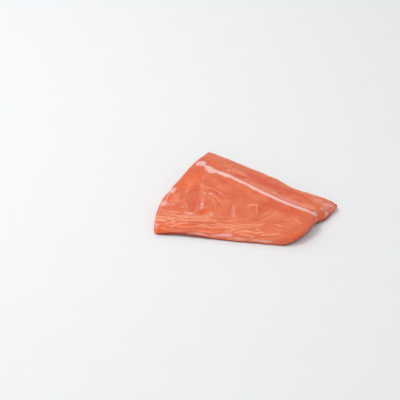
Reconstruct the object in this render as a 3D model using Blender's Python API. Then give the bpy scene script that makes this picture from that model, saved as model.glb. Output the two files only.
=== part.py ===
# Salmon fillet: a cross-cut section from the tail half of a fish side, lying flat with its cut flesh up.
# Lengths are in millimetres until the last step, which turns them into metres.
# x runs along the midline towards the tail, y across it towards the back, z up.
import math

import bmesh
import bpy
from mathutils import Vector, noise

# Driving dimensions
LENGTH = 142.0            # head-side cut to tail-side cut, on the midline
BACK_WIDTH = 38.0         # midline to the back edge
BELLY_WIDTH_HEAD = 95.7   # midline to the belly edge, at the head-side cut
BELLY_WIDTH_TAIL = 43.5   # the same at the tail-side cut
CREST_HEAD = 21.5         # height of the midline at the head-side cut
CREST_TAIL = 13.0
BELLY_HEIGHT = 8.0        # just inside the belly edge
BACK_HEIGHT_HEAD = 14.5   # just inside the back edge
BACK_HEIGHT_TAIL = 8.7

# Rounding of the rims: how far in it starts and how deep it goes
BELLY_ROUND = (9.0, 4.2)
BACK_ROUND = (8.0, 5.0)
CUT_ROUND = (2.6, 1.5)

# The tail-side cut slopes where it crosses the back: reach and depth, and the y where it starts
BACK_BEVEL = (10.0, 6.5)
BEVEL_FROM = -3.0

# On the belly side the same cut overhangs: how far its foot and upper rim stand out, and over what reach
OVERHANG = (-0.4, 2.0)
OVERHANG_REACH = 15.0

# Plan radius of each corner
CORNER_RADII = {
    ("head", "belly"): 3.5,
    ("head", "back"): 6.5,
    ("tail", "belly"): 6.0,
    ("tail", "back"): 1.4,
}

# The white membrane on the midline: half its width at the head and tail ends, and how far it stands up
MEMBRANE_HALF_WIDTHS = (3.6, 2.3)
MEMBRANE_HEIGHT = 0.7

# Grain ridges near the belly edge: their spacing at the head and tail ends, height, and width of their band
GRAIN_SPACING = (3.6, 4.6)
GRAIN_HEIGHT = 0.4
GRAIN_BAND = 30.0
GRAIN_ANGLE = math.radians(31.0)

# Flakes that have parted. Each stands up beside its line and falls away over reach: on the line's
# left where its height is positive, and on its right where it is negative.
FLAKES = [
    {"line": [(19, -19), (22, -26), (29, -35), (34, -46), (35, -57), (30, -63)], "height": 1.3, "reach": 13.0},
    {"line": [(24, -25), (33, -22), (44, -24), (56, -28), (66, -36)], "height": -0.7, "reach": 9.0},
    {"line": [(33, -31), (42, -31), (51, -36), (56, -43)], "height": -0.6, "reach": 7.0},
    {"line": [(33, -62), (38, -60), (46, -52), (46, -46)], "height": 1.0, "reach": 6.0},
    {"line": [(72, -26), (83, -18), (88, -31)], "height": -0.6, "reach": 7.0},
]
FLAKE_EDGE = 3.0          # width over which a parted flake's edge rises

# Pockets between parted flakes: centre, half-length, half-width, turn in degrees and depth
POCKETS = [
    {"centre": (3, -54), "half": (12.0, 6.5), "turn": 84.0, "depth": 1.5},
    {"centre": (26, -45), "half": (19.0, 7.0), "turn": -62.0, "depth": 1.1},
    {"centre": (26, -56), "half": (5.5, 4.0), "turn": 30.0, "depth": 0.8},
    {"centre": (41, -55), "half": (8.0, 3.2), "turn": 45.0, "depth": 1.1},
]

# The belly edge stands clear of the ground from x to x: how high, and how far in
LIFT_SPAN = (17.0, 66.0)
LIFT_HEIGHT = 1.4
LIFT_REACH = 9.0

# The tail-side cut does the same from y to y
TAIL_LIFT_SPAN = (-50.0, 12.0)
TAIL_LIFT_HEIGHT = 1.3
TAIL_LIFT_REACH = 7.0

# Steps of the grid along the fish, across it and down the wall
STEPS = (70, 56, 4)

MM = 0.001


def smooth(t):
    t = min(max(t, 0.0), 1.0)
    return t * t * (3.0 - 2.0 * t)


def mix(a, b, t):
    return a + (b - a) * t


def lumps(x, y, size, seed):
    """Soft unevenness between about -1 and 1, with lumps of that size."""
    return noise.noise(Vector((x / size, y / size, seed)))


# The plan outline has four edges, and each gives its point at t from 0 to 1.
def belly_edge(t):
    x = mix(10.5, 130.5, t)
    hollow = 1.5 * math.exp(-(((x - 38.0) / 30.0) ** 2))
    y = mix(-BELLY_WIDTH_HEAD, -BELLY_WIDTH_TAIL, t) + hollow
    return Vector((x, y + 0.5 * lumps(x, 0.0, 9.0, 1.7)))


def back_edge(t):
    x = mix(-5.5, LENGTH + 1.5, t)
    waist = 4.5 * math.exp(-(((x - 98.0) / 18.0) ** 2))
    return Vector((x, BACK_WIDTH - 3.5 * t - waist + 0.6 * lumps(x, 0.0, 12.0, 4.1)))


def head_edge(t):
    """Nearly square across the fish, then swept back to the belly corner."""
    start, end = belly_edge(0.0), back_edge(0.0)
    y = mix(start.y, end.y, t)
    sweep = max(0.0, (-56.0 - y) / (BELLY_WIDTH_HEAD - 56.0))
    x = -4.0 + (start.x + 4.0) * sweep ** 1.5
    x += (end.x + 4.0) * smooth((y - 15.0) / 20.0)
    return Vector((x + 3.6 * t * (1.0 - t) * lumps(0.0, y, 10.0, 7.3), y))


def tail_edge(t):
    """Stands further out where it crosses the back, with a step under the midline."""
    start, end = belly_edge(1.0), back_edge(1.0)
    y = mix(start.y, end.y, t)
    bulge = 3.4 * math.sin(math.pi * min(2.0 * t, 1.0))
    step = 2.4 * smooth((y + 2.0) / 8.0) * smooth((end.y - y) / 22.0)
    uneven = 5.0 * t * (1.0 - t) * lumps(0.0, y, 8.0, 9.9)
    return Vector((mix(start.x, end.x, t) + bulge + step + uneven, y))


def outline_patch(a, b):
    """A Coons patch: the plan point at a along the fish and b from belly to back."""
    along = belly_edge(a) * (1.0 - b) + back_edge(a) * b
    across = head_edge(b) * (1.0 - a) + tail_edge(b) * a
    corners = belly_edge(0.0) * (1.0 - a) * (1.0 - b) + belly_edge(1.0) * a * (1.0 - b)
    corners += back_edge(0.0) * (1.0 - a) * b + back_edge(1.0) * a * b
    return along + across - corners


def local_size(a, b):
    """Length and width of the piece through (a, b), which turn a and b into distances."""
    return (tail_edge(b) - head_edge(b)).length, (back_edge(a) - belly_edge(a)).length


def round_corner(a, b):
    """Pulls (a, b) in near a corner, so that the square grid gets round corners in plan."""
    length, width = local_size(a, b)
    end = "head" if a < 0.5 else "tail"
    side = "belly" if b < 0.5 else "back"
    radius = CORNER_RADII[(end, side)]
    p = 1.0 - min(a, 1.0 - a) * length / radius
    q = 1.0 - min(b, 1.0 - b) * width / radius
    if p <= 0.0 or q <= 0.0:
        return a, b
    pull = max(p, q) / math.hypot(p, q)
    in_a = (1.0 - p * pull) * radius / length
    in_b = (1.0 - q * pull) * radius / width
    return (in_a if end == "head" else 1.0 - in_a), (in_b if side == "belly" else 1.0 - in_b)


def midline_y(x):
    """The midline wanders a little about its axis."""
    return 2.2 * math.sin(2.0 * math.pi * x / (LENGTH - 8.0))


def crown(x, y):
    """Height of the flesh face without rims or relief: highest on the midline."""
    t = min(max(x / LENGTH, 0.0), 1.0)
    crest = mix(CREST_HEAD, CREST_TAIL, t) + 0.8 * math.sin(math.pi * t)
    centre = midline_y(x)
    if y < centre:
        width = mix(BELLY_WIDTH_HEAD, BELLY_WIDTH_TAIL, t) + centre
        q = min(max((centre - y) / width, 0.0), 1.0)
        return mix(BELLY_HEIGHT, crest, (1.0 - q) ** 0.8)
    q = min((y - centre) / (BACK_WIDTH - centre), 1.0)
    return mix(crest, mix(BACK_HEIGHT_HEAD, BACK_HEIGHT_TAIL, t), q ** 1.7)


def rim_drop(distance, rounding):
    reach, depth = rounding
    t = 1.0 - min(max(distance / reach, 0.0), 1.0)
    return depth * (1.0 - math.sqrt(1.0 - t * t))


def back_bevel(distance, y):
    """The slope of the tail-side cut across the back, stepped by the flakes and gentler at the corner."""
    reach, depth = BACK_BEVEL
    depth *= 1.0 - 0.75 * smooth((y - 18.0) / 14.0)
    t = 1.0 - min(max(distance / reach, 0.0), 1.0)
    steps = 0.4 * math.sin(3.0 * math.pi * t) * math.sin(math.pi * t)
    return smooth((y - BEVEL_FROM) / 6.0) * (depth * t ** 1.6 + steps)


def membrane(x, y):
    """The raised white membrane, ragged and broken once near the head-side cut."""
    t = x / LENGTH
    half = mix(*MEMBRANE_HALF_WIDTHS, min(max(t * 1.6, 0.0), 1.0)) * (1.0 + 0.25 * lumps(x, 0.0, 5.0, 2.2))
    ends = smooth((x + 2.0) / 3.0) * smooth((LENGTH - 9.0 - x) / 4.0)
    gap = 1.0 - 0.8 * math.exp(-(((x - 9.5) / 1.5) ** 2))
    across = (y - midline_y(x)) / half
    return MEMBRANE_HEIGHT * ends * gap * math.exp(-across ** 4)


def grain(x, y, from_belly):
    """Ridges of the muscle layers, which run at a slant to the belly edge and fade inwards."""
    along = x * math.cos(GRAIN_ANGLE) + y * math.sin(GRAIN_ANGLE)
    across = y * math.cos(GRAIN_ANGLE) - x * math.sin(GRAIN_ANGLE)
    spacing = mix(*GRAIN_SPACING, min(max(x / LENGTH, 0.0), 1.0))
    wave = math.cos(2.0 * math.pi * (across + 1.0 * lumps(along, across, 22.0, 5.5)) / spacing)
    fade = smooth(from_belly / 4.0) * smooth((GRAIN_BAND - from_belly) / 10.0) * smooth((122.0 - x) / 30.0)
    return GRAIN_HEIGHT * fade * wave


def beside_line(point, line):
    """Signed distance from the line, positive on its left, and how far along it the nearest point is."""
    starts = [Vector(p) for p in line[:-1]]
    runs = [Vector(q) - start for q, start in zip(line[1:], starts)]
    total = sum(run.length for run in runs)
    nearest = (math.inf, 0.0)
    gone = 0.0
    for start, run in zip(starts, runs):
        share = min(max((point - start).dot(run) / run.length_squared, 0.0), 1.0)
        distance = (point - start - run * share).length
        if distance < abs(nearest[0]):
            side = math.copysign(1.0, run.cross(point - start))
            nearest = (side * distance, (gone + share * run.length) / total)
        gone += run.length
    return nearest


def flake(x, y, line, height, reach):
    """A parted flake's raised side, which ends in a step along its line."""
    distance, along = beside_line(Vector((x, y)), line)
    raised = distance if height > 0.0 else -distance
    taper = math.sin(math.pi * min(max(along, 0.02), 0.98)) ** 0.5
    if raised > 0.0:
        shape = smooth(raised / FLAKE_EDGE) * (1.0 - smooth((raised - FLAKE_EDGE) / reach))
    else:
        shape = -0.3 * math.sin(math.pi * smooth(-raised / (3.0 * FLAKE_EDGE)))
    return abs(height) * taper * shape


def pocket(x, y, centre, half, turn, depth):
    """An oval hollow with a low rim."""
    turned = math.radians(turn)
    dx, dy = x - centre[0], y - centre[1]
    u = (dx * math.cos(turned) + dy * math.sin(turned)) / half[0]
    v = (dy * math.cos(turned) - dx * math.sin(turned)) / half[1]
    r = math.hypot(u, v)
    return -depth * (1.0 - smooth(r)) + 0.35 * depth * math.exp(-(((r - 1.15) / 0.25) ** 2))


def relief(x, y, from_belly, from_rim):
    z = 0.5 * lumps(x, y, 17.0, 0.4) + 0.3 * lumps(x, y, 7.0, 3.1)
    z += membrane(x, y) + grain(x, y, from_belly)
    z += sum(flake(x, y, **one) for one in FLAKES)
    z += sum(pocket(x, y, **one) for one in POCKETS)
    return z * smooth((from_rim + 0.5) / 5.0)


def flesh_height(a, b, x, y):
    length, width = local_size(a, b)
    from_belly, from_back = b * width, (1.0 - b) * width
    from_head, from_tail = a * length, (1.0 - a) * length
    z = crown(x, y) + relief(x, y, from_belly, min(from_belly, from_back, from_head, from_tail))
    z -= math.hypot(
        rim_drop(from_belly, BELLY_ROUND),
        rim_drop(from_back, BACK_ROUND),
        rim_drop(min(from_head, from_tail), CUT_ROUND),
    )
    return z - back_bevel(from_tail, y) * smooth(from_back / BACK_ROUND[0] + 0.5)


def lift(x, y, from_belly, from_tail):
    """How far the underside stands off the ground under the belly edge and the tail-side cut."""
    start, end = LIFT_SPAN
    middle = smooth((x - start) / 12.0) * smooth((end - x) / 25.0)
    under_belly = LIFT_HEIGHT * middle * (1.0 - smooth(from_belly / LIFT_REACH))
    start, end = TAIL_LIFT_SPAN
    middle = smooth((y - start) / 10.0) * smooth((end - y) / 10.0)
    return under_belly + TAIL_LIFT_HEIGHT * middle * (1.0 - smooth(from_tail / TAIL_LIFT_REACH))


def overhang(c, y, from_tail):
    """How far the tail-side cut stands out at height share c on the belly side, more at its top."""
    middle = smooth((y + BELLY_WIDTH_TAIL) / 14.0) * smooth((-1.0 - y) / 6.0)
    return mix(*OVERHANG, c) * middle * (1.0 - smooth(from_tail / OVERHANG_REACH))


def spread(b):
    """Sets the rows closer together near the belly and back edges."""
    return b - 0.045 * math.sin(2.0 * math.pi * b)


def wall_reach(c):
    """How far the wall stands out at height share c: tucked under at the foot, fullest at mid-height."""
    return 0.99 + 0.01 * smooth(c / 0.25) + 0.004 * math.sin(math.pi * c)


def fillet_point(a, b, c):
    """The point of the solid at a along, b across and c up, each from 0 to 1."""
    b = spread(b)
    round_a, round_b = round_corner(a, b)
    top = outline_patch(round_a, round_b)
    length, width = local_size(a, b)
    foot = lift(top.x, top.y, b * width, (1.0 - a) * length)
    reach = wall_reach(c)
    plan = outline_patch(0.5 + (round_a - 0.5) * reach, 0.5 + (round_b - 0.5) * reach)
    x = plan.x + overhang(c, plan.y, (1.0 - a) * length)
    return Vector((x, plan.y, mix(foot, flesh_height(a, b, top.x, top.y), c)))


def box_grid(steps):
    """A unit box from 0 to 1, cut into steps along each axis."""
    bm = bmesh.new()
    bmesh.ops.create_cube(bm, size=1.0)
    bmesh.ops.translate(bm, verts=bm.verts, vec=(0.5, 0.5, 0.5))
    for axis, count in enumerate(steps):
        across = [e for e in bm.edges if abs(e.verts[0].co[axis] - e.verts[1].co[axis]) > 0.5]
        bmesh.ops.subdivide_edges(bm, edges=across, cuts=count - 1, use_grid_fill=True)
    return bm


def flat_underside(bm):
    """Joins the faces that lie on the ground into one."""
    flat = [f for f in bm.faces if all(v.co.z < 1e-6 for v in f.verts)]
    bmesh.ops.dissolve_faces(bm, faces=flat, use_verts=True)


def build_fillet():
    bm = box_grid(STEPS)
    for vert in bm.verts:
        vert.co = fillet_point(*vert.co)
    flat_underside(bm)
    bmesh.ops.recalc_face_normals(bm, faces=bm.faces)
    low = [min(v.co[i] for v in bm.verts) for i in range(2)]
    high = [max(v.co[i] for v in bm.verts) for i in range(2)]
    centre = Vector(((low[0] + high[0]) / 2.0, (low[1] + high[1]) / 2.0, 0.0))
    bmesh.ops.translate(bm, verts=bm.verts, vec=-centre)
    bmesh.ops.scale(bm, verts=bm.verts, vec=(MM, MM, MM))
    return bm


def flesh_material():
    material = bpy.data.materials.new("salmon_flesh")
    material.use_nodes = True
    shader = material.node_tree.nodes["Principled BSDF"]
    shader.inputs["Base Color"].default_value = (0.79, 0.20, 0.11, 1.0)
    shader.inputs["Roughness"].default_value = 0.35
    shader.inputs["Metallic"].default_value = 0.0
    return material


def main():
    for old in list(bpy.data.objects):
        bpy.data.objects.remove(old)
    collection = bpy.data.collections.new("salmon_fillet")
    bpy.context.scene.collection.children.link(collection)
    mesh = bpy.data.meshes.new("fillet")
    bm = build_fillet()
    bm.to_mesh(mesh)
    bm.free()
    mesh.shade_smooth()
    mesh.materials.append(flesh_material())
    collection.objects.link(bpy.data.objects.new("fillet", mesh))


main()
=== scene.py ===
# A raw salmon fillet from the tail half of one side, flesh up, on a pale floor in soft studio light.
import math

import bmesh
import bpy
import numpy as np
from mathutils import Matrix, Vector, noise


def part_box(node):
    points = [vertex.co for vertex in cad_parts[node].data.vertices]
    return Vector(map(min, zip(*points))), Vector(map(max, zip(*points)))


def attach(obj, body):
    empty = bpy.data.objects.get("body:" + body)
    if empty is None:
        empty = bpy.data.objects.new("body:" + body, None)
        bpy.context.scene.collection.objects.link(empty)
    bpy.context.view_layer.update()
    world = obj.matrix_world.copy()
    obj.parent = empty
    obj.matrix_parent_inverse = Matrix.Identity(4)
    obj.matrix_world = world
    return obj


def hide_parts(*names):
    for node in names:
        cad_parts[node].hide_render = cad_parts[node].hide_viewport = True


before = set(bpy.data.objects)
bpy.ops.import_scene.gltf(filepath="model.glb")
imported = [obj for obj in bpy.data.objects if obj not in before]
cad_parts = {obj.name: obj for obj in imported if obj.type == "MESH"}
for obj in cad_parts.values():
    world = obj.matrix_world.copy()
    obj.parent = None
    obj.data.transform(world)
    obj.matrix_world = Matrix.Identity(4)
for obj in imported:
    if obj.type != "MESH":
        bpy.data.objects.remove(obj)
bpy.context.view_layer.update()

mm = 0.001
print("frame loaded:", sorted(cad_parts))


def ease(t):
    t = np.clip(t, 0.0, 1.0)
    return t * t * (3.0 - 2.0 * t)


def mix(a, b, t):
    return a + (b - a) * t


def hill(x, centre, reach, height):  # a smooth rise round one place
    return height * np.exp(-(((x - centre) / reach) ** 2))


def lumps(x, y, size, seed):  # soft unevenness between about -1 and 1, with lumps of that size
    x, y = np.broadcast_arrays(np.asarray(x, float) / size, np.asarray(y, float) / size)
    values = [noise.noise((u, v, seed)) for u, v in zip(x.ravel(), y.ravel())]
    return np.array(values).reshape(x.shape)


# Everything about the fillet is in millimetres, in the fish's own frame, until the mesh is placed:
# x runs along the midline towards the tail, y towards the back and z up. The form has the solid's
# sizes, and only its relief is finer.
form = {
    "length": 142.0,            # head-side cut to tail-side cut, on the midline
    "backWidth": 38.0,          # midline to the back edge
    "bellyWidths": (95.7, 43.5),  # midline to the belly edge, at the head and tail ends
    "bellyEnds": (10.5, 130.5),   # x of the two corners on the belly edge
    "backEnds": (-5.5, 143.5),    # and on the back edge
    "bellyHollow": (38.0, 30.0, 1.5),  # where the edge curves in, over what length, and how deep
    "backWaist": (98.0, 18.0, 4.5),    # the same on the back edge
    "backTaper": 3.5,           # how far the back edge comes in towards the tail
    "headSweep": (-4.0, -56.0),  # x of the head-side cut, and y from which it sweeps to the belly
    "tailBulge": 3.4,           # how far the tail-side cut swells out on the belly side
    "tailStep": 2.4,            # how much further out the tail-side cut stands on the back
    "crest": (21.5, 13.0),      # height on the midline at the two ends
    "hump": 0.8,                # and how far it rises above that in between
    "sway": 2.2,                # how far the midline swings to either side
    "bellyHeight": 8.0,
    "backHeights": (14.5, 8.7),
    "unevenness": [(0.5, 17.0, 0.4), (0.25, 7.0, 3.1), (0.08, 2.4, 9.3)],  # height, size and seed
    "bellyRound": (9.0, 4.2),   # how far in the rounding starts, and how deep it goes
    "backRound": (8.0, 5.0),
    "cutRound": (2.6, 1.5),
    "backBevel": (10.0, 6.5),   # slope of the tail-side cut where it crosses the back
    "bevelFrom": -3.0,          # y where the slope starts
    "bevelEase": (18.0, 14.0, 0.75),  # y where it eases off, over what width, and by what share
    "overhang": (-0.4, 2.0),    # how far its foot and its upper rim stand out on the belly side
    "overhangReach": 15.0,
    "cornerRadii": {
        ("head", "belly"): 3.5,
        ("head", "back"): 6.5,
        ("tail", "belly"): 6.0,
        ("tail", "back"): 1.4,
    },
    # where the foot stands clear of the floor: x along the belly and y along the tail-side cut
    "bellyLift": {"start": 17.0, "end": 66.0, "height": 1.4, "reach": 9.0, "eases": (12.0, 25.0)},
    "tailLift": {"start": -50.0, "end": 12.0, "height": 1.3, "reach": 7.0, "eases": (10.0, 10.0)},
    "steps": (280, 240, 12),    # mesh steps along, across and down the wall
    "skinRow": 0.7,             # height of the wall's lowest row, where the skin's edge shows
    "skinSpans": ((0.03, 0.965), (0.03, 0.97)),  # shares of the length and width that it covers
}


def bellyEdge(t):
    x = mix(*form["bellyEnds"], t)
    y = mix(-form["bellyWidths"][0], -form["bellyWidths"][1], t) + hill(x, *form["bellyHollow"])
    return x, y + 0.5 * lumps(x, 0.0, 9.0, 1.7)


def backEdge(t):
    x = mix(*form["backEnds"], t)
    y = form["backWidth"] - form["backTaper"] * t - hill(x, *form["backWaist"])
    return x, y + 0.6 * lumps(x, 0.0, 12.0, 4.1)


def headEdge(t):  # nearly square across the fish, then swept back to the belly corner
    (startX, startY), (endX, endY) = bellyEdge(0.0), backEdge(0.0)
    y = mix(startY, endY, t)
    cutX, turnY = form["headSweep"]
    sweep = np.maximum(0.0, (turnY - y) / (form["bellyWidths"][0] + turnY))
    x = cutX + (startX - cutX) * sweep ** 1.5 + (endX - cutX) * ease((y - 15.0) / 20.0)
    return x + 3.6 * t * (1.0 - t) * lumps(0.0, y, 10.0, 7.3), y


def tailEdge(t):  # stands further out where it crosses the back
    (startX, startY), (endX, endY) = bellyEdge(1.0), backEdge(1.0)
    y = mix(startY, endY, t)
    x = mix(startX, endX, t) + form["tailBulge"] * np.sin(np.pi * np.minimum(2.0 * t, 1.0))
    x += form["tailStep"] * ease((y + 2.0) / 8.0) * ease((endY - y) / 22.0)
    return x + 5.0 * t * (1.0 - t) * lumps(0.0, y, 8.0, 9.9), y


def outlinePatch(a, b):  # plan point at a along the fish and b from belly to back
    belly, back, head, tail = bellyEdge(a), backEdge(a), headEdge(b), tailEdge(b)
    corners = [bellyEdge(0.0), bellyEdge(1.0), backEdge(0.0), backEdge(1.0)]
    shares = [(1.0 - a) * (1.0 - b), a * (1.0 - b), (1.0 - a) * b, a * b]
    plan = []
    for axis in range(2):
        value = belly[axis] * (1.0 - b) + back[axis] * b + head[axis] * (1.0 - a) + tail[axis] * a
        plan.append(value - sum(corner[axis] * share for corner, share in zip(corners, shares)))
    return plan


def localSize(a, b):  # length and width of the piece through (a, b)
    belly, back, head, tail = bellyEdge(a), backEdge(a), headEdge(b), tailEdge(b)
    length = np.hypot(tail[0] - head[0], tail[1] - head[1])
    return length, np.hypot(back[0] - belly[0], back[1] - belly[1])


def roundCorners(a, b, length, width):  # pulls (a, b) in near each corner
    a, b = a.copy(), b.copy()
    for (end, side), radius in form["cornerRadii"].items():
        near = ((a < 0.5) == (end == "head")) & ((b < 0.5) == (side == "belly"))
        p = 1.0 - np.minimum(a, 1.0 - a) * length / radius
        q = 1.0 - np.minimum(b, 1.0 - b) * width / radius
        near &= (p > 0.0) & (q > 0.0)
        p, q, long, wide = p[near], q[near], length[near], width[near]
        pull = np.maximum(p, q) / np.hypot(p, q)
        inA, inB = (1.0 - p * pull) * radius / long, (1.0 - q * pull) * radius / wide
        a[near] = inA if end == "head" else 1.0 - inA
        b[near] = inB if side == "belly" else 1.0 - inB
    return a, b


def midlineY(x):  # a gentle S from cut to cut
    return form["sway"] * np.sin(2.0 * np.pi * x / (form["length"] - 8.0))


def crown(x, y):  # height of the flesh face without rims or relief
    t = np.clip(x / form["length"], 0.0, 1.0)
    crest = mix(*form["crest"], t) + form["hump"] * np.sin(np.pi * t)
    centre = midlineY(x)
    down = np.clip((centre - y) / (mix(*form["bellyWidths"], t) + centre), 0.0, 1.0)
    up = np.clip((y - centre) / (form["backWidth"] - centre), 0.0, 1.0)
    bellySide = mix(form["bellyHeight"], crest, (1.0 - down) ** 0.8)
    return np.where(y < centre, bellySide, mix(crest, mix(*form["backHeights"], t), up ** 1.7))


def rimDrop(distance, rounding):  # how far the face has rounded down, that far in from a side
    t = 1.0 - np.clip(distance / rounding[0], 0.0, 1.0)
    return rounding[1] * (1.0 - np.sqrt(1.0 - t * t))


# Relief of the flesh face. Its lines and spots lie where the real fillet has them. A parted flake's
# raised side ends in a step along its line, on the line's left where the height is positive.
partedFlakes = [
    {"line": [(19, -19), (22, -26), (29, -35), (34, -46), (35, -57), (30, -63)],
     "height": 1.3, "reach": 13.0},
    {"line": [(24, -25), (33, -22), (44, -24), (56, -28), (66, -36)], "height": -0.7, "reach": 9.0},
    {"line": [(33, -31), (42, -31), (51, -36), (56, -43)], "height": -0.6, "reach": 7.0},
    {"line": [(33, -62), (38, -60), (46, -52), (46, -46)], "height": 1.0, "reach": 6.0},
    {"line": [(72, -26), (83, -18), (88, -31)], "height": -0.6, "reach": 7.0},
]
flakeEdge = 2.6                 # width over which a flake's edge rises

pockets = [
    {"centre": (3, -54), "half": (12.0, 6.5), "turn": 84.0, "depth": 1.5},
    {"centre": (26, -45), "half": (19.0, 7.0), "turn": -62.0, "depth": 1.1},
    {"centre": (26, -56), "half": (5.5, 4.0), "turn": 30.0, "depth": 0.8},
    {"centre": (41, -55), "half": (8.0, 3.2), "turn": 45.0, "depth": 1.1},
]

grainBand = {
    "angle": math.radians(31.0),
    "spacing": (3.1, 3.8),      # at the head and tail ends
    "height": 0.2,
    "widths": (29.0, 12.0),     # how far in from the belly edge, at the head end and where narrow
    "narrowAt": 110.0,
    "gone": (124.0, 20.0),      # x where it has faded out, and over what length
    "pale": 0.6,                # strength of the fat lines on its crests, and of the red between
    "red": 0.3,
}

membrane = {
    "halfWidths": (3.1, 2.15),  # at the head and tail ends
    "narrowest": (60.0, 26.0, 0.22),  # where, over what length, and by what share it thins out
    "height": 0.7,
    "ends": (10.0, 5.0),        # how far from the two cuts its even part starts and stops
    "blobs": [                  # torn patches: centre, half sizes and turn
        {"centre": (3.6, 4.6), "half": (6.8, 4.6), "turn": 62.0},
        {"centre": (10.0, 3.0), "half": (4.4, 2.2), "turn": -20.0},
        {"centre": (16.0, 1.4), "half": (8.0, 4.9), "turn": -20.0},
        {"centre": (35.0, 2.0), "half": (7.0, 3.2), "turn": 2.0},
        {"centre": (134.6, 2.0), "half": (3.2, 2.5), "turn": 40.0},
    ],
}


def besideLine(x, y, line):  # signed distance from the line, positive on its left, and share along it
    total = sum(math.dist(p, q) for p, q in zip(line, line[1:]))
    nearest = np.full(x.shape, 1e9)
    side, along = np.ones(x.shape), np.zeros(x.shape)
    gone = 0.0
    for (px, py), (qx, qy) in zip(line, line[1:]):
        length = math.dist((px, py), (qx, qy))
        runX, runY = (qx - px) / length, (qy - py) / length
        offX, offY = x - px, y - py
        run = np.clip(offX * runX + offY * runY, 0.0, length)
        distance = np.hypot(offX - run * runX, offY - run * runY)
        closer = distance < nearest
        nearest = np.where(closer, distance, nearest)
        side = np.where(closer, np.sign(runX * offY - runY * offX + 1e-12), side)
        along = np.where(closer, (gone + run) / total, along)
        gone += length
    return side * nearest, along


def insideOval(x, y, centre, half, turn):  # 0 at the centre of the oval and 1 on its rim
    turned = math.radians(turn)
    dx, dy = x - centre[0], y - centre[1]
    u = (dx * math.cos(turned) + dy * math.sin(turned)) / half[0]
    v = (dy * math.cos(turned) - dx * math.sin(turned)) / half[1]
    return np.hypot(u, v)


def flakeRelief(x, y, line, height, reach):
    distance, along = besideLine(x, y, line)
    raised = np.where(height > 0.0, distance, -distance)
    taper = np.sin(np.pi * np.clip(along, 0.02, 0.98)) ** 0.5
    up = ease(raised / flakeEdge) * (1.0 - ease((raised - flakeEdge) / reach))
    down = -0.3 * np.sin(np.pi * ease(-raised / (3.0 * flakeEdge)))
    return abs(height) * taper * np.where(raised > 0.0, up, down)


def pocketRelief(x, y, centre, half, turn, depth):
    r = insideOval(x, y, centre, half, turn) + 0.25 * lumps(x, y, 5.0, depth)
    return -depth * (1.0 - ease(r)) + 0.3 * depth * np.exp(-(((r - 1.15) / 0.3) ** 2))


def membraneMask(x, y):  # 1 on the white membrane, with a torn border
    ragged = 0.30 * lumps(x, y, 2.6, 6.1) + 0.16 * lumps(x, y, 1.1, 2.9)
    t = np.clip(x / form["length"] * 1.6, 0.0, 1.0)
    half = mix(*membrane["halfWidths"], t) * (1.0 + 0.3 * lumps(x, 0.0, 6.0, 2.2))
    half *= 1.0 - hill(x, *membrane["narrowest"])
    start, stop = membrane["ends"]
    ends = ease((x - start) / 3.0) * ease((form["length"] - stop - x) / 2.0)
    inside = (1.0 - np.abs(y - midlineY(x)) / half) * ends - (1.0 - ends)
    for blob in membrane["blobs"]:
        inside = np.maximum(inside, 1.0 - insideOval(x, y, **blob))
    return ease((inside + ragged * 0.6) / 0.45)


def grainWave(x, y, fromBelly):  # 1 on the crest of each muscle layer's edge, and where the band fades
    along = x * math.cos(grainBand["angle"]) + y * math.sin(grainBand["angle"])
    across = y * math.cos(grainBand["angle"]) - x * math.sin(grainBand["angle"])
    spacing = mix(*grainBand["spacing"], np.clip(x / form["length"], 0.0, 1.0))
    bend = 1.0 * lumps(along, across, 22.0, 5.5) + 0.45 * lumps(along, across, 7.0, 8.8)
    wave = np.cos(2.0 * np.pi * (across + bend) / spacing)
    reach = mix(*grainBand["widths"], np.clip(x / grainBand["narrowAt"], 0.0, 1.0))
    end, fade = grainBand["gone"]
    band = ease((reach - fromBelly) / 8.0) * ease((end - x) / fade)
    return wave, band, along, across


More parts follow.
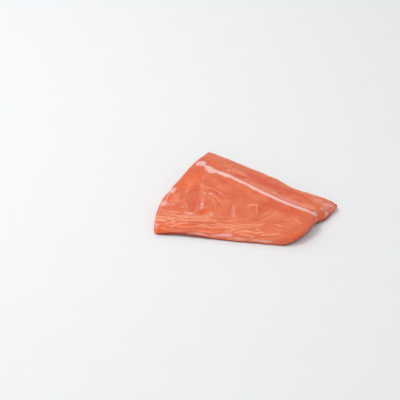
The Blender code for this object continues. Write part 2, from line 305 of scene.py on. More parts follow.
# What is painted on the flesh face: strokes along a line and oval spots, in the fish's frame. The
# amount is a mark's strength, and soft is how gently its border fades.
marks = {
    "fatAndHighlights": [                    # whitish pink shreds of connective tissue, and painted highlights on wet rims and ridges
        # painted highlights on the wet rims of the pocket by the head-side cut, of the lobe and of the
        # first flake's lip, over pale tissue
        {"line": [(0, -42), (-1, -50), (1, -58), (2, -64), (7, -66)], "width": 1.0, "amount": 0.7},
        {"centre": (0, -43), "half": (5.4, 3.0), "turn": 80.0, "amount": 1.7},
        {"centre": (2, -63), "half": (6.0, 4.2), "turn": 70.0, "amount": 1.9},
        {"centre": (10, -60), "half": (3.4, 1.6), "turn": 30.0, "amount": 0.6},
        {"centre": (12, -55), "half": (2.6, 1.5), "turn": 80.0, "amount": 0.5},
        {"line": [(18, -59), (21, -58), (22, -55)], "width": 1.4, "amount": 0.4, "soft": 1.1},
        {"centre": (21, -46), "half": (1.5, 1.1), "turn": 0.0, "amount": 0.7},
        {"centre": (32, -62), "half": (2.6, 1.5), "turn": 0.0, "amount": 1.4},
        {"line": [(26, -63), (31, -63), (35, -60)], "width": 1.0, "amount": 0.8},
        {"centre": (35, -46), "half": (3.4, 2.2), "turn": -70.0, "amount": 1.0},
        {"centre": (38, -50), "half": (4.4, 2.6), "turn": 80.0, "amount": 0.8},
        {"line": [(30, -37), (32, -41), (34, -44)], "width": 0.9, "amount": 0.35},
        {"centre": (46, -57), "half": (3.2, 1.7), "turn": 30.0, "amount": 0.55},
        {"line": [(48, -54), (48, -51), (51, -51), (51, -54), (48, -54)], "width": 0.8, "amount": 0.65},
        {"centre": (30, -32), "half": (2.4, 1.3), "turn": 20.0, "amount": 1.2},
        {"centre": (35, -29), "half": (3.2, 1.4), "turn": 20.0, "amount": 1.1},
        {"centre": (32, 11), "half": (2.6, 2.0), "turn": 60.0, "amount": 0.8},
        {"centre": (54, 8), "half": (1.4, 2.4), "turn": 0.0, "amount": 0.7},
        {"line": [(61, -31), (64, -33), (67, -40), (71, -45)],
         "width": 2.4, "amount": 0.5, "soft": 1.2},
        {"centre": (11, -89), "half": (3.0, 1.8), "turn": 40.0, "amount": 0.7},
        {"centre": (78, -64.5), "half": (5.0, 1.6), "turn": 25.0, "amount": 0.7},
        {"centre": (113, -32), "half": (2.2, 1.0), "turn": 0.0, "amount": 0.7},
        {"line": [(60, 6), (70, 5.5), (80, 5), (92, 4)], "width": 5.0, "amount": 0.5, "soft": 1.8},
        {"line": [(90, 4), (100, 3), (108, 3), (118, 4), (127, 6), (133, 7)],
         "width": 5.0, "amount": 0.7, "soft": 1.6},
        {"centre": (88, 5), "half": (6.0, 2.0), "turn": -8.0, "amount": 0.6},
        {"centre": (128, 22), "half": (12.0, 5.0), "turn": 12.0, "amount": 0.6, "soft": 1.2},
        {"centre": (138, 20), "half": (8.0, 10.5), "turn": 0.0, "amount": 0.9, "soft": 1.4},
        {"line": [(113, 27), (120, 28), (130, 31)], "width": 1.8, "amount": 0.6},
        {"line": [(134, 20), (138, 22), (141, 26)], "width": 1.6, "amount": 1.0},
        {"centre": (141, 27), "half": (4.0, 3.4), "turn": 30.0, "amount": 0.8, "soft": 1.0},
        {"centre": (137, 13), "half": (2.4, 1.7), "turn": 30.0, "amount": 0.8},
        {"centre": (141.5, 14.5), "half": (3.6, 2.4), "turn": 80.0, "amount": 1.0},
        {"line": [(138, 0), (139, -4), (138, -9)], "width": 1.2, "amount": 0.6},
    ],
    "pale": [                   # thin fat lines between the muscle layers, and a painted highlight on one corner
        {"line": [(24, -24), (28, -22), (35, -21), (44, -23), (50, -26)], "width": 0.8, "amount": 0.6},
        {"line": [(35, -28), (46, -32), (51, -35), (54, -38)], "width": 0.8, "amount": 0.55},
        {"line": [(34, -34), (41, -35), (46, -39), (48, -44)], "width": 0.7, "amount": 0.4},
        {"centre": (54, -29), "half": (5.0, 1.8), "turn": -20.0, "amount": 0.5},
        {"line": [(19, -20), (22, -26)], "width": 1.0, "amount": 0.5},
        {"line": [(97, -35), (103, -24), (104, -18)], "width": 1.6, "amount": 0.35},
        {"line": [(94, -27), (96, -23)], "width": 0.8, "amount": 0.5},
        {"line": [(66, -54), (73, -49), (77, -43)], "width": 0.8, "amount": 0.6},
        {"line": [(76, -52), (85, -48), (96, -42), (99, -40), (100, -37)], "width": 0.9, "amount": 0.8},
        {"line": [(71, -60), (74, -57), (83, -53), (92, -48), (97, -43), (99, -42)],
         "width": 0.8, "amount": 0.7},
        {"line": [(60, -60), (68, -57), (76, -54), (84, -51)], "width": 0.9, "amount": 0.8},
        {"line": [(56, -64), (66, -60), (76, -58), (84, -55.5)], "width": 0.8, "amount": 0.7},
        {"line": [(86, -60), (94, -57), (100, -55)], "width": 0.9, "amount": 0.8},
        {"line": [(72, -64), (76, -62), (79, -59), (84, -55), (89, -54)], "width": 1.0, "amount": 0.7},
        {"line": [(96, -48), (102, -46)], "width": 1.0, "amount": 0.8},
        {"line": [(82, -61), (84, -58), (92, -54), (100, -51), (106, -47)],
         "width": 1.0, "amount": 0.95},
        {"line": [(105, -51), (114, -46), (120, -41)], "width": 1.0, "amount": 0.85},
        {"line": [(110, -32.5), (115, -33), (117, -30)], "width": 1.0, "amount": 0.8},
        {"line": [(122, -16), (131, -19)], "width": 0.9, "amount": 0.6},
        {"line": [(113, -22.5), (119, -21)], "width": 0.8, "amount": 0.6},
        {"line": [(18, -84), (21, -80), (25, -75), (29, -72), (35, -70), (46, -63), (58, -57)],
         "width": 1.3, "amount": 0.9},
        {"line": [(23, -85), (27, -80), (31, -76), (36, -74)], "width": 1.2, "amount": 0.9},
        {"line": [(14, -82), (19, -77), (22, -73), (26, -70), (33, -67), (44, -61), (52, -57)],
         "width": 1.3, "amount": 0.9},
        {"line": [(4, -81), (11, -79), (19, -76), (23, -72)], "width": 1.2, "amount": 0.9},
        {"line": [(3, -77), (9, -74), (15, -72), (23, -70), (29, -65)], "width": 1.2, "amount": 0.75},
        {"line": [(2, -70), (7, -71), (14, -68), (22, -64)], "width": 1.0, "amount": 0.65},
        {"line": [(2, -73), (8, -71), (16, -69), (24, -65)], "width": 0.9, "amount": 0.55},
        {"line": [(5, -85), (10, -83), (16, -81)], "width": 1.2, "amount": 1.0},
        {"centre": (11, -76), "half": (14.0, 8.0), "turn": 25.0, "amount": 0.55, "soft": 1.3},
        {"line": [(44, -73), (51, -68), (60, -66)], "width": 1.0, "amount": 0.8},
        {"line": [(58, -67), (67, -62), (76, -57)], "width": 1.0, "amount": 0.8},
        # painted highlight on the rounded belly corner at the head-side cut
        {"centre": (10, -91), "half": (5.0, 2.0), "turn": -60.0, "amount": 0.8},
        {"line": [(31, -66), (44, -59), (58, -51), (70, -43)], "width": 0.8, "amount": 0.35},
        {"line": [(37, -69), (48, -63), (60, -57), (70, -50)], "width": 0.8, "amount": 0.5},
        {"line": [(22, -81), (27, -81), (31, -77)], "width": 1.2, "amount": 0.6},
        {"centre": (49, -69), "half": (1.9, 1.5), "turn": 0.0, "amount": 0.7},
        {"line": [(74.5, -25), (78, -21), (83, -18.5)], "width": 1.4, "amount": 0.8},
        {"line": [(82, -19), (85, -26), (88, -30)], "width": 0.9, "amount": 0.7},
        {"centre": (24, -55), "half": (4.0, 2.2), "turn": -50.0, "amount": 0.4},
        {"line": [(34, 14), (42, 14.5), (51, 14)], "width": 3.4, "amount": 0.8, "soft": 1.3},
        {"centre": (12, -53), "half": (11.0, 6.5), "turn": 25.0, "amount": 0.55, "soft": 1.4},
    ],
    "red": [                    # deeper, wetter flesh; in the valley beside the first parted flake, painted shade as well
        # painted shade on the floor of the valley, over its deeper colour
        {"line": [(18, -24), (22, -32), (27, -40), (31, -49), (31, -58)],
         "width": 6.0, "amount": 0.6, "soft": 1.3},
        {"line": [(50, 19), (64, 16), (78, 15), (92, 17), (112, 19)],
         "width": 8.5, "amount": 1.0, "soft": 1.5},
        {"line": [(82, -14), (103, -12), (126, -9)], "width": 5.5, "amount": 0.55, "soft": 1.3},
        {"centre": (86, -22), "half": (10.0, 7.0), "turn": 20.0, "amount": 0.4, "soft": 1.4},
        {"line": [(20, -5), (40, -8), (60, -10)], "width": 3.0, "amount": 0.3},
        {"centre": (22, -31), "half": (2.2, 1.5), "turn": 40.0, "amount": 0.9},
        {"centre": (25, -13), "half": (9.0, 8.0), "turn": 0.0, "amount": 0.4, "soft": 1.5},
        {"centre": (19, -28), "half": (7.0, 5.0), "turn": 30.0, "amount": 0.4, "soft": 1.4},
        {"line": [(39, 9.5), (46, 9.5), (53, 10)], "width": 1.6, "amount": 0.6},
        {"line": [(24, -20), (30, -18), (38, -19)], "width": 1.0, "amount": 0.5},
        {"line": [(30, -26), (38, -25), (46, -28)], "width": 1.0, "amount": 0.45},
        {"line": [(137, 18), (141, 24)], "width": 1.6, "amount": 0.7},
        {"line": [(62, -70), (70, -66)], "width": 1.0, "amount": 0.6},
        {"line": [(90, -57.5), (97, -53)], "width": 1.0, "amount": 0.7},
        {"centre": (92, -37), "half": (5.0, 2.5), "turn": 20.0, "amount": 0.5},
    ],
    "orange": [                 # flesh with more colour and less fat
        {"centre": (9, -14), "half": (12.0, 9.0), "turn": 0.0, "amount": 0.9, "soft": 1.3},
        {"centre": (5, -28), "half": (11.0, 8.0), "turn": -50.0, "amount": 0.85, "soft": 1.3},
        {"centre": (9, -24), "half": (14.0, 11.0), "turn": -60.0, "amount": 0.8, "soft": 1.3},
        {"line": [(-1, -34), (8, -31), (13, -30)], "width": 3.0, "amount": 0.8},
        {"centre": (11, 15), "half": (4.0, 3.0), "turn": 0.0, "amount": 0.9},
        {"centre": (17, -88), "half": (11.0, 5.5), "turn": 40.0, "amount": 0.8},
        {"line": [(20, -85), (28, -81), (37, -76), (48, -72)], "width": 2.2, "amount": 0.6},
        {"line": [(82, -59), (91, -55)], "width": 1.4, "amount": 0.9},
        {"line": [(98, -53), (107, -48.5)], "width": 1.2, "amount": 0.8},
        {"line": [(50, -75), (60, -70), (70, -64)], "width": 1.5, "amount": 0.7},
        {"line": [(37, -61), (40, -58), (42, -53), (46, -49)], "width": 2.2, "amount": 0.8},
        {"centre": (8, -84), "half": (6.0, 4.0), "turn": 60.0, "amount": 0.8},
        {"centre": (3, -53), "half": (5.0, 3.0), "turn": 80.0, "amount": 0.8},
        {"line": [(110, 20), (115, 17), (120, 14), (126, 12), (134, 11)],
         "width": 3.4, "amount": 0.7, "soft": 1.2},
        {"centre": (138.5, 6), "half": (3.4, 2.4), "turn": 80.0, "amount": 0.4},
        {"centre": (131, -36), "half": (9.0, 3.5), "turn": 60.0, "amount": 0.6},
    ],
    "paintedShade": [                   # painted shade in thin creases beside the midline: one where the tail-side slope starts, one below the membrane
        {"line": [(114, 19), (119, 16.5), (124, 15), (129, 14.5), (134, 15)],
         "width": 0.8, "amount": 0.35},
        {"line": [(58, -3.5), (80, -6), (96, -8)], "width": 0.7, "amount": 0.25},
    ],
}

# The same on the cut sides, in x and height on the belly side, and in y and height on the two cuts. The
# painted-shade marks are dark red shade painted on the flesh along the foot, where the edge stands over
# the floor.
sideMarks = {
    "belly": {
        # pale strips of tissue on the wall, partly painted highlights
        "fatAndHighlights": [
            {"line": [(40, 3.8), (46, 4.4), (52, 4.8), (60, 4.4)], "width": 1.2, "amount": 0.9},
            {"line": [(61, 4.0), (66, 5.0), (72, 6.0), (80, 6.6)], "width": 1.4, "amount": 0.9},
            {"line": [(84, 4.4), (92, 4.2)], "width": 1.0, "amount": 0.7},
            {"line": [(98, 4.2), (108, 4.2), (116, 4.0)], "width": 1.2, "amount": 0.9},
            {"centre": (128, 2.4), "half": (3.5, 0.9), "turn": 10.0, "amount": 0.8},
        ],
        "orange": [
            {"centre": (15, 4.0), "half": (9.0, 4.0), "turn": 0.0, "amount": 0.8},
        ],
        # painted shade under the lifted belly edge
        "paintedShade": [
            {"line": [(13, 0.6), (20, 1.4), (30, 1.8), (40, 1.5), (52, 1.0), (62, 0.8)],
             "width": 2.9, "amount": 1.2},
            {"line": [(40, 0.4), (60, 0.3), (80, 0.3), (100, 0.3), (129, 0.3)],
             "width": 1.5, "amount": 1.2},
        ],
    },
    "tail": {
        "red": [
            {"line": [(-1, 9.0), (-12, 8.2), (-22, 7.0), (-38, 5.4)], "width": 2.6, "amount": 1.0},
        ],
        "fatAndHighlights": [
            {"line": [(-1, 5.6), (-8, 5.2), (-14, 4.8)], "width": 0.9, "amount": 0.8},
            {"line": [(5, 3.4), (8, 4.0), (12, 4.4)], "width": 0.8, "amount": 0.7},
        ],
        # painted shade under the lifted tail-side edge
        "paintedShade": [
            {"line": [(-48, 0.6), (-32, 1.4), (-16, 1.4), (-2, 1.2), (10, 1.4), (18, 1.4), (26, 0.8)],
             "width": 3.6, "amount": 1.2},
        ],
    },
    "head": {
        # painted shade at the foot of the head-side cut
        "paintedShade": [
            {"line": [(-8, 1.0), (0, 3.4), (8, 1.2)], "width": 2.4, "amount": 0.6},
        ],
    },
}


paintNames = ["membrane", "fatAndHighlights", "pale", "red", "orange", "paintedShade", "skinEdge"]
paintHeights = {"fatAndHighlights": 0.35, "pale": 0.18, "red": -0.2}  # fat and its painted highlights stand up a little, wet flesh lies lower

septaLines = {
    "spacing": (5.2, 4.4),      # on the two cuts, and on the belly and back edges
    "lean": 0.55,               # how far they lean over for each mm up
    "wander": 3.4,
    "amount": 0.6,
}

skinEdge = {"height": 1.1, "amount": 0.7}  # the skin's edge along the foot, but for the belly side


def paint(x, y, strokes, ragged):  # strongest of the strokes at each point, with an uneven border
    mask = np.zeros(x.shape)
    for stroke in strokes:
        if "line" in stroke:
            distance, along = besideLine(x, y, stroke["line"])
            taper = 0.35 + 0.65 * np.sin(np.pi * np.clip(along, 0.0, 1.0)) ** 0.5
            inside = 1.0 - np.abs(distance) / (stroke["width"] * taper * 1.3)
        else:
            inside = 1.0 - insideOval(x, y, stroke["centre"], stroke["half"], stroke["turn"])
        mask = np.maximum(mask, stroke["amount"] * ease((inside + ragged) / stroke.get("soft", 0.7)))
    return mask


def awayFromSides(a, b, length, width):  # distance from each of the four sides
    return {
        "belly": b * width,
        "back": (1.0 - b) * width,
        "head": a * length,
        "tail": (1.0 - a) * length,
    }


def fleshRelief(x, y, masks):
    relief = sum(height * lumps(x, y, size, seed) for height, size, seed in form["unevenness"])
    relief += membrane["height"] * masks["membrane"] * ease((form["length"] - 2.0 - x) / 5.0)
    relief += grainBand["height"] * masks["grainBand"] * masks["grainWave"]
    relief += sum(height * masks[name] for name, height in paintHeights.items())
    relief += sum(flakeRelief(x, y, **flake) for flake in partedFlakes)
    return relief + sum(pocketRelief(x, y, **pocket) for pocket in pockets)


def tailBevel(y, away):  # slope and steps of the tail-side cut where it crosses the back
    reach, depth = form["backBevel"]
    easesFrom, easesOver, share = form["bevelEase"]
    depth = depth * (1.0 - share * ease((y - easesFrom) / easesOver))
    t = 1.0 - np.clip(away["tail"] / reach, 0.0, 1.0)
    steps = 0.4 * np.sin(3.0 * np.pi * t) * np.sin(np.pi * t)
    bevel = ease((y - form["bevelFrom"]) / 6.0) * (depth * t ** 1.6 + steps)
    return bevel * ease(away["back"] / form["backRound"][0] + 0.5)


def fleshHeight(x, y, away, masks):
    fromRim = np.minimum.reduce(list(away.values()))
    z = crown(x, y) + fleshRelief(x, y, masks) * ease((fromRim + 0.5) / 5.0)
    z -= np.sqrt(
        rimDrop(away["belly"], form["bellyRound"]) ** 2
        + rimDrop(away["back"], form["backRound"]) ** 2
        + rimDrop(np.minimum(away["head"], away["tail"]), form["cutRound"]) ** 2
    )
    return z - tailBevel(y, away)


def lifted(along, inwards, start, end, height, reach, eases):  # how far the edge is off the floor
    rise = height * ease((along - start) / eases[0]) * ease((end - along) / eases[1])
    return rise * (1.0 - ease(inwards / reach))


def septa(x, y, z, away):  # thin pale lines between layers on the cuts
    onCut = np.minimum(away["head"], away["tail"]) < np.minimum(away["belly"], away["back"])
    along = np.where(onCut, y, x)
    lean = septaLines["lean"] * z * np.where(y > 0.0, 1.0, -1.0)
    bend = lean + septaLines["wander"] * lumps(along, z, 11.0, 5.1)
    wave = np.cos(2.0 * np.pi * (along + bend) / np.where(onCut, *septaLines["spacing"]))
    broken = ease(0.5 + 1.6 * lumps(along, 2.0 * z, 5.0, 3.3))
    return septaLines["amount"] * broken * ease((wave - 0.35) / 0.6)


def faceMasks(x, y, c, away, ragged):  # how much of each finish lies on the flesh face
    onTop = ease((c - 0.3) / 0.6)
    masks = {"membrane": membraneMask(x, y) * ease((c - 0.75) / 0.2)}
    masks["grainWave"], masks["grainBand"], along, across = grainWave(x, y, away["belly"])
    for name, strokes in marks.items():
        masks[name] = paint(x, y, strokes, ragged) * onTop
    breaks = ease(0.55 + 1.1 * lumps(along / 3.0, across, 3.2, 7.7))
    crest = ease((masks["grainWave"] - 0.1) / 0.9) * masks["grainBand"]
    trough = ease(-masks["grainWave"]) * masks["grainBand"]
    masks["pale"] = np.maximum(masks["pale"], grainBand["pale"] * crest * breaks)
    masks["red"] = np.maximum(masks["red"], grainBand["red"] * trough * breaks)
    return masks


def addSideMasks(masks, x, y, z, c, foot, away, ragged):  # and how much on the cut sides
    onSide = 1.0 - ease((c - 0.3) / 0.6)
    low = ease((skinEdge["height"] - (z - foot)) / 0.5)
    masks["skinEdge"] = low * ease((away["belly"] - 1.5) / 2.0) * skinEdge["amount"]
    places = {"belly": x, "tail": y, "head": y}
    for side, strokesByName in sideMarks.items():
        near = ease((7.0 - away[side]) / 4.0)
        for name, strokes in strokesByName.items():
            painted = near * paint(places[side], z, strokes, 0.6 * ragged)
            masks[name] = np.maximum(masks[name], painted)
    masks["pale"] = np.maximum(masks["pale"], septa(x, y, z, away) * onSide)
    # painted shade: the wall's lowest row, where it meets the floor, is fully dark
    masks["paintedShade"] = np.maximum(masks["paintedShade"], (c == 0.0) * 1.0)


def boxGrid(steps):  # a unit box cut into steps along each axis
    bm = bmesh.new()
    bmesh.ops.create_cube(bm, size=1.0)
    bmesh.ops.translate(bm, verts=bm.verts, vec=(0.5, 0.5, 0.5))
    for axis, count in enumerate(steps):
        across = [e for e in bm.edges if abs(e.verts[0].co[axis] - e.verts[1].co[axis]) > 0.5]
        bmesh.ops.subdivide_edges(bm, edges=across, cuts=count - 1, use_grid_fill=True)
    return bm


def coverWithSkin(bm):  # the underside but for a narrow trimmed margin, while the box is still square
    (startX, endX), (startY, endY) = form["skinSpans"]
    for face in bm.faces:
        spots = [v.co for v in face.verts]
        covered = all(p.z < 1e-6 and startX < p.x < endX and startY < p.y < endY for p in spots)
        face.material_index = int(covered)


def joinFlatSkin(bm):  # the flat part of the underside as one face
    flat = [f for f in bm.faces if f.material_index == 1 and all(v.co.z < 1e-6 for v in f.verts)]
    for face in bmesh.ops.dissolve_faces(bm, faces=flat, use_verts=True)["region"]:
        face.material_index = 1


def spreadRows(c, rise):  # the wall's first row ends at skinRow, and the others share the rest
    skin, firstRow = form["skinRow"] / rise, 1.0 / form["steps"][2]
    above = (c - firstRow) / (1.0 - firstRow)
    return np.where(c <= firstRow, c / firstRow * skin, mix(skin, 1.0, above))


def planAtHeight(roundA, roundB, c, away):  # the outline's points, with the wall's swell and overhang
    out = 0.99 + 0.01 * ease(c / 0.25) + 0.004 * np.sin(np.pi * c)
    x, y = outlinePatch(0.5 + (roundA - 0.5) * out, 0.5 + (roundB - 0.5) * out)
    middle = ease((y + form["bellyWidths"][1]) / 14.0) * ease((-1.0 - y) / 6.0)
    x += mix(*form["overhang"], c) * middle * (1.0 - ease(away["tail"] / form["overhangReach"]))
    return x, y


def fitInside(x, y, z):  # the fish's frame to the part's, just inside the solid's own box
    low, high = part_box("fillet")
    placed = []
    for values, lowest, highest in zip((x, y, z), low, high):
        share = (values - values.min()) / (values.max() - values.min())
        placed.append(lowest + share * (highest - lowest))
    return placed


def buildFillet():
    bm = boxGrid(form["steps"])
    print("grid:", len(bm.verts), "points")
    coverWithSkin(bm)
    a, b, c = np.array([v.co for v in bm.verts]).T
    b = b - 0.045 * np.sin(2.0 * np.pi * b)  # closer rows near the belly and back edges
    length, width = localSize(a, b)
    away = awayFromSides(a, b, length, width)
    roundA, roundB = roundCorners(a, b, length, width)
    x, y = outlinePatch(roundA, roundB)
    ragged = 0.22 * lumps(x, y, 2.2, 4.4) + 0.16 * lumps(x, y, 0.9, 1.2)
    masks = faceMasks(x, y, c, away, ragged)
    top = fleshHeight(x, y, away, masks)
    foot = lifted(x, away["belly"], **form["bellyLift"]) + lifted(y, away["tail"], **form["tailLift"])
    print("flesh shaped")
    rows = spreadRows(c, top - foot)
    z = mix(foot, top, rows)
    addSideMasks(masks, x, y, z, c, foot, away, ragged)
    planX, planY = planAtHeight(roundA, roundB, rows, away)
    placed = fitInside(planX, planY, z)
    layers = {name: bm.verts.layers.float.new(name) for name in paintNames}
    values = [masks[name] for name in paintNames]
    for vert, co, *shares in zip(bm.verts, np.array(placed).T, *values):
        vert.co = co
        for layer, share in zip(layers.values(), shares):
            vert[layer] = share
    joinFlatSkin(bm)
    bmesh.ops.recalc_face_normals(bm, faces=bm.faces)
    mesh = bpy.data.meshes.new("salmonFillet")
    bm.to_mesh(mesh)
    bm.free()
    mesh.shade_smooth()
    return mesh


filletMesh = buildFillet()
fillet = bpy.data.objects.new("salmonFillet", filletMesh)
bpy.context.scene.collection.objects.link(fillet)
print("fillet mesh:", len(filletMesh.polygons), "faces")


def linear(code):  # an sRGB hex colour as linear red, green, blue and alpha
    shares = [int(code[i:i + 2], 16) / 255.0 for i in (0, 2, 4)]
    return [s / 12.92 if s <= 0.04045 else ((s + 0.055) / 1.055) ** 2.4 for s in shares] + [1.0]


def addNode(tree, kind, settings=None, links=None):
    made = tree.nodes.new("ShaderNode" + kind)
    for name, value in (settings or {}).items():
        if isinstance(name, str) and hasattr(made, name):
            setattr(made, name, value)
        else:
            made.inputs[name].default_value = value
    for name, source in (links or {}).items():
        tree.links.new(source, made.inputs[name])
    return made


def newMaterial(name):
    material = bpy.data.materials.new(name)
    material.use_nodes = True
    tree = material.node_tree
    tree.nodes.clear()
    shader = addNode(tree, "BsdfPrincipled")
    addNode(tree, "OutputMaterial", links={"Surface": shader.outputs[0]})
    return material, tree, shader


noiseSpan = {"From Min": 0.3, "From Max": 0.7}  # where most of a noise texture's values lie

flesh = {
    "colours": {"deep": "de6843", "mid": "e3724b", "light": "e97e55"},
    "orange": "f06c2a",
    "red": "dc4a38",
    # fat, and painted highlights on wet rims
    "pale": "fba47e",
    "fatAndHighlights": "f6b4a8",
    "membrane": ("eaa4a0", "f9d4cf"),
    # painted shade, dark red, for the foot and the creases
    "paintedShade": "a6301e",
    "skinEdge": "6e4a55",
    "blotch": 16.0,             # mm, size of the soft changes of colour
    "fibre": (7.0, 0.8),        # mm, length and width of the muscle fibres
    "shred": 1.6,               # mm, size of the shreds that fat and membrane tear into
    "water": 5.0,               # mm, size of the wetter and drier spots
    "grit": 0.7,                # mm, finest unevenness of the cut
    "fibreTones": (0.91, 1.07),  # how dark and light the fibres are against the flesh
    "cover": (0.45, 1.1),       # how much of the fat and its painted highlights shows in the gaps and on the shreds
    "roughness": (0.30, 0.46),  # from the wettest spots to the driest
    "inside": 0.35,             # share of the light that enters
    "depth": 1.3,               # mm that it travels there
    "ior": 1.38,
    "film": {"Coat Weight": 0.25, "Coat Roughness": 0.12, "Coat IOR": 1.33},  # of water
}


# Raw salmon: moist muscle, cut with a knife. Light enters it, so the colour is soft and deep, and a
# thin film of water gives small, sharp glints on the ridges. Its colour also carries painted highlights
# on wet rims and painted shade along the foot and in creases.
def rawSalmonFlesh():
    material, tree, shader = newMaterial("rawSalmonFlesh")
    place = addNode(tree, "TexCoord").outputs["Object"]
    blotch = addNode(tree, "TexNoise", {"Scale": 1000.0 / flesh["blotch"], "Detail": 3.0},
                     {"Vector": place})
    tones = addNode(tree, "ValToRGB", links={"Fac": blotch.outputs["Fac"]})
    ramp = tones.color_ramp
    ramp.elements.new(0.5)
    for element, spot, name in zip(ramp.elements, (0.34, 0.5, 0.66), ("deep", "mid", "light")):
        element.position = spot
        element.color = linear(flesh["colours"][name])
    long, wide = flesh["fibre"]
    turned = addNode(tree, "Mapping", {
        "vector_type": "TEXTURE",
        "Rotation": (0.0, 0.0, grainBand["angle"] * 0.8),
        "Scale": (long * mm, wide * mm, wide * mm),
    }, {"Vector": place})
    fibre = addNode(tree, "TexNoise", {"Scale": 1.0, "Detail": 3.0, "Roughness": 0.6},
                    {"Vector": turned.outputs[0]})
    colour = tones.outputs["Color"]
    dim, lit = flesh["fibreTones"]
    fibreTone = addNode(tree, "MapRange", {**noiseSpan, "To Min": dim, "To Max": lit},
                        {"Value": fibre.outputs["Fac"]})
    torn = addNode(tree, "TexNoise",
                   {"Scale": 1000.0 / flesh["shred"], "Detail": 4.0, "Roughness": 0.6},
                   {"Vector": place})
    thin, thick = flesh["cover"]
    shreds = addNode(tree, "MapRange",
                     {"From Min": 0.34, "From Max": 0.6, "To Min": thin, "To Max": thick},
                     {"Value": torn.outputs["Fac"]})
    for name in ("orange", "red", "pale", "fatAndHighlights", "paintedShade", "skinEdge"):
        share = addNode(tree, "Attribute", {"attribute_name": name}).outputs["Fac"]
        if name in ("pale", "fatAndHighlights"):
            share = addNode(tree, "Math", {"operation": "MULTIPLY", "use_clamp": True},
                            {0: share, 1: shreds.outputs[0]}).outputs[0]
        colour = addNode(tree, "Mix", {"data_type": "RGBA", 7: linear(flesh[name])},
                         {0: share, 6: colour}).outputs[2]
    toned = addNode(tree, "Mix", {"data_type": "RGBA", "blend_type": "MULTIPLY", 0: 1.0},
                    {6: colour, 7: fibreTone.outputs[0]})
    dull, bright = (linear(code) for code in flesh["membrane"])
    whites = addNode(tree, "Mix", {"data_type": "RGBA", 6: dull, 7: bright},
                     {0: torn.outputs["Fac"]})
    share = addNode(tree, "Attribute", {"attribute_name": "membrane"})
    final = addNode(tree, "Mix", {"data_type": "RGBA"},
                    {0: share.outputs["Fac"], 6: toned.outputs[2], 7: whites.outputs[2]})
    tree.links.new(final.outputs[2], shader.inputs["Base Color"])
    wet, dry = flesh["roughness"]
    water = addNode(tree, "TexNoise", {"Scale": 1000.0 / flesh["water"], "Detail": 4.0},
                    {"Vector": place})
    gloss = addNode(tree, "MapRange", {**noiseSpan, "To Min": wet, "To Max": dry},
                    {"Value": water.outputs["Fac"]})
    tree.links.new(gloss.outputs[0], shader.inputs["Roughness"])
    fine = addNode(tree, "TexNoise", {"Scale": 1000.0 / flesh["grit"], "Detail": 3.0},
                   {"Vector": place})
    fibreBump = addNode(tree, "Bump", {"Strength": 0.5, "Distance": 0.15 * mm},
                        {"Height": fibre.outputs["Fac"]})
    bump = addNode(tree, "Bump", {"Strength": 0.35, "Distance": 0.1 * mm},
                   {"Height": fine.outputs["Fac"], "Normal": fibreBump.outputs[0]})
    tree.links.new(bump.outputs[0], shader.inputs["Normal"])
    shader.subsurface_method = "RANDOM_WALK"
    shader.inputs["Subsurface Weight"].default_value = flesh["inside"]
    shader.inputs["Subsurface Radius"].default_value = (1.0, 0.35, 0.2)  # red light goes furthest
    shader.inputs["Subsurface Scale"].default_value = flesh["depth"] * mm
    shader.inputs["IOR"].default_value = flesh["ior"]
    for name, value in flesh["film"].items():
        shader.inputs[name].default_value = value
    return material


skin = {
    "belly": "d8d4cf",
    "back": "5b6468",
    "darkens": (-20.0, 60.0),   # mm, y from where to where the silver gives way to the back's grey
    "cloud": 9.0,               # mm, size of the uneven patches on the way
    "clouded": (0.35, 0.17),    # their strength, and what keeps them even on both sides
    "scale": 2.4,               # mm, across one scale
    "scaleRim": (0.12, 0.62),   # a scale's darker rim: its width as a share of the scale, and its tone
    "silver": 0.45,
    "roughness": 0.34,
    "film": {"Coat Weight": 0.3, "Coat Roughness": 0.15},
}


# Salmon skin: overlapping small scales with silvery crystals under a wet, clear layer, darker towards
# the back. It covers the underside but for a narrow trimmed margin.
def salmonSkin():
    material, tree, shader = newMaterial("salmonSkin")
    place = addNode(tree, "TexCoord").outputs["Object"]
    apart = addNode(tree, "SeparateXYZ", links={"Vector": place})
    start, end = skin["darkens"]
    share = addNode(tree, "MapRange", {"From Min": start * mm, "From Max": end * mm},
                    {"Value": apart.outputs["Y"]})
    cloud = addNode(tree, "TexNoise", {"Scale": 1000.0 / skin["cloud"], "Detail": 4.0},
                    {"Vector": place})
    strength, balance = skin["clouded"]
    clouded = addNode(tree, "Math", {"operation": "MULTIPLY_ADD", 1: strength},
                      {0: cloud.outputs["Fac"], 2: share.outputs[0]})
    shift = addNode(tree, "Math", {"operation": "SUBTRACT", "use_clamp": True, 1: balance},
                    {0: clouded.outputs[0]})
    tone = addNode(tree, "Mix",
                   {"data_type": "RGBA", 6: linear(skin["belly"]), 7: linear(skin["back"])},
                   {0: shift.outputs[0]})
    scales = addNode(tree, "TexVoronoi",
                     {"feature": "DISTANCE_TO_EDGE", "Scale": 1000.0 / skin["scale"]},
                     {"Vector": place})
    rimWidth, rimTone = skin["scaleRim"]
    rim = addNode(tree, "MapRange",
                  {"From Min": 0.0, "From Max": rimWidth, "To Min": rimTone, "To Max": 1.0},
                  {"Value": scales.outputs["Distance"]})
    final = addNode(tree, "Mix", {"data_type": "RGBA", "blend_type": "MULTIPLY", 0: 1.0},
                    {6: tone.outputs[2], 7: rim.outputs[0]})
    tree.links.new(final.outputs[2], shader.inputs["Base Color"])
    bump = addNode(tree, "Bump", {"Strength": 0.5, "Distance": 0.12 * mm},
                   {"Height": scales.outputs["Distance"]})
    tree.links.new(bump.outputs[0], shader.inputs["Normal"])
    shader.inputs["Metallic"].default_value = skin["silver"]
    shader.inputs["Roughness"].default_value = skin["roughness"]
    for name, value in skin["film"].items():
        shader.inputs[name].default_value = value
    return material


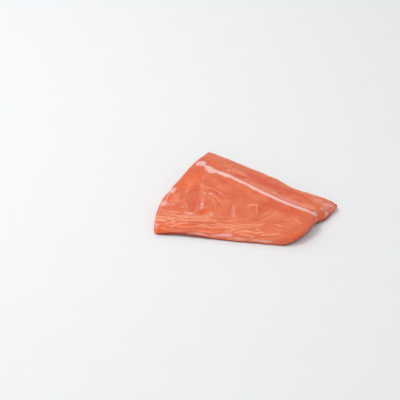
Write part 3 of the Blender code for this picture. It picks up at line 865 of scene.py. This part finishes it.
fillet.data.materials.append(rawSalmonFlesh())
fillet.data.materials.append(salmonSkin())
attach(fillet, "root")
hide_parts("fillet")
print("flesh dressed")


studio = {
    "azimuth": 31.3925,         # degrees, of the camera, from -Y towards +X
    "elevation": 37.0,
    "distance": 1.6,            # metres, as are the lights' distances and sizes
    "aim": (-0.049555, 0.003922, 0.0),
    "lens": 144.0,              # mm, on a sensor 36 mm wide
    "world": 0.56,
    "lights": {                 # degrees, their azimuth from the camera's
        "softbox": {"azimuth": 258.0, "elevation": 64.0, "distance": 1.3, "size": 0.55, "energy": 6.7},
        "backLight": {"azimuth": 200.0, "elevation": 38.0, "distance": 1.4, "size": 0.3, "energy": 1.5},
        "topLight": {"azimuth": 0.0, "elevation": 88.0, "distance": 1.8, "size": 1.8, "energy": 1.8},
        "frontFill": {"azimuth": -5.0, "elevation": 24.0, "distance": 1.7, "size": 1.2, "energy": 3.6},
    },
}


def towards(azimuth, elevation):  # from what the camera aims at, both in degrees
    azimuth, elevation = math.radians(azimuth), math.radians(elevation)
    flat = math.cos(elevation)
    return Vector((math.sin(azimuth) * flat, -math.cos(azimuth) * flat, math.sin(elevation)))


def standAt(thing, direction, distance):
    bpy.context.scene.collection.objects.link(thing)
    thing.location = Vector(studio["aim"]) + direction * distance
    thing.rotation_euler = direction.to_track_quat("Z", "Y").to_euler()


def addCamera():
    camera = bpy.data.objects.new("camera", bpy.data.cameras.new("camera"))
    standAt(camera, towards(studio["azimuth"], studio["elevation"]), studio["distance"])
    camera.data.lens = studio["lens"]
    camera.data.sensor_width = 36.0
    camera.data.clip_start = 0.1
    bpy.context.scene.camera = camera


def addArea(name, azimuth, elevation, distance, size, energy):
    light = bpy.data.lights.new(name, "AREA")
    light.size = size
    light.energy = energy
    lamp = bpy.data.objects.new(name, light)
    standAt(lamp, towards(studio["azimuth"] + azimuth, elevation), distance)


board = {
    "colours": ("eceef0", "f0f1f2"),
    "mottle": 30.0,             # soft changes of tone to the metre
    "roughness": 0.7,
    "size": 3.0,                # metres, half its side
    "below": 0.05,              # mm under the fillet
}


# Painted board: smooth, matt and nearly white, so it only takes the soft shadow.
def paintedBoard():
    material, tree, shader = newMaterial("paintedBoard")
    place = addNode(tree, "TexCoord").outputs["Object"]
    mottle = addNode(tree, "TexNoise", {"Scale": board["mottle"], "Detail": 3.0}, {"Vector": place})
    greyer, whiter = (linear(code) for code in board["colours"])
    tone = addNode(tree, "Mix", {"data_type": "RGBA", 6: greyer, 7: whiter},
                   {0: mottle.outputs["Fac"]})
    tree.links.new(tone.outputs[2], shader.inputs["Base Color"])
    shader.inputs["Roughness"].default_value = board["roughness"]
    return material


def addFloor():
    bm = bmesh.new()
    bmesh.ops.create_grid(bm, x_segments=8, y_segments=8, size=board["size"])
    bmesh.ops.translate(bm, verts=bm.verts, vec=(0.0, 0.0, -board["below"] * mm))
    mesh = bpy.data.meshes.new("floor")
    bm.to_mesh(mesh)
    bm.free()
    floor = bpy.data.objects.new("floor", mesh)
    bpy.context.scene.collection.objects.link(floor)
    mesh.materials.append(paintedBoard())


def addWorld():  # even white light from all round
    world = bpy.data.worlds.new("studio")
    world.use_nodes = True
    background = world.node_tree.nodes["Background"]
    background.inputs["Color"].default_value = linear("ffffff")
    background.inputs["Strength"].default_value = studio["world"]
    bpy.context.scene.world = world


addCamera()
addFloor()
for name, settings in studio["lights"].items():
    addArea(name, **settings)
addWorld()
bpy.context.scene.view_settings.view_transform = "Standard"
print("studio lit")
